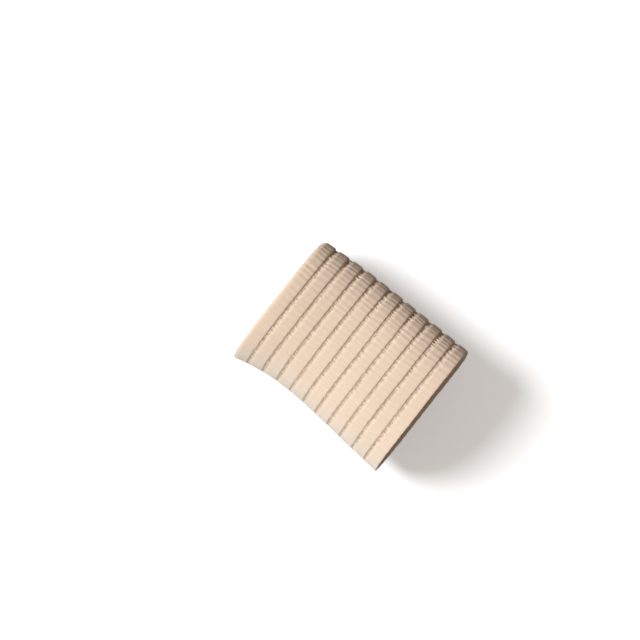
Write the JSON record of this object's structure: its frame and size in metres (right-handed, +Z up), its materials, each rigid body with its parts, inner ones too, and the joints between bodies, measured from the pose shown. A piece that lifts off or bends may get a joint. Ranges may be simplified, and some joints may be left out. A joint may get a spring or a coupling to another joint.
{
  "type": "elastic wrist support",
  "caption": "Ribbed elastic pull-on wrist support: a short beige cloth cuff of padded rib rings joined by thin webs, shaped to a wrist and lying on its palm side.",
  "frame": {"origin": "centre of the box round the cuff, at the plane that its palm side rests on", "axes": "+X along the arm from the hand end to the forearm end, +Y across the wrist, +Z up to the back of the wrist"},
  "size_m": [0.078, 0.0645, 0.0509],
  "materials": {
    "ribbed_elastic": "matte beige knitted elastic with fine cross ridges",
    "groove_weave": "matte tan woven elastic"
  },
  "bodies": {
    "root": {"rib_01": "ribbed_elastic", "rib_02": "ribbed_elastic", "rib_03": "ribbed_elastic", "rib_04": "ribbed_elastic", "rib_05": "ribbed_elastic", "rib_06": "ribbed_elastic", "rib_07": "ribbed_elastic", "rib_08": "ribbed_elastic", "rib_09": "ribbed_elastic", "rib_10": "ribbed_elastic", "rib_11": "ribbed_elastic", "joining_web_01": "groove_weave", "joining_web_02": "groove_weave", "joining_web_03": "groove_weave", "joining_web_04": "groove_weave", "joining_web_05": "groove_weave", "joining_web_06": "groove_weave", "joining_web_07": "groove_weave", "joining_web_08": "groove_weave", "joining_web_09": "groove_weave", "joining_web_10": "groove_weave"}
  },
  "joints": []
}
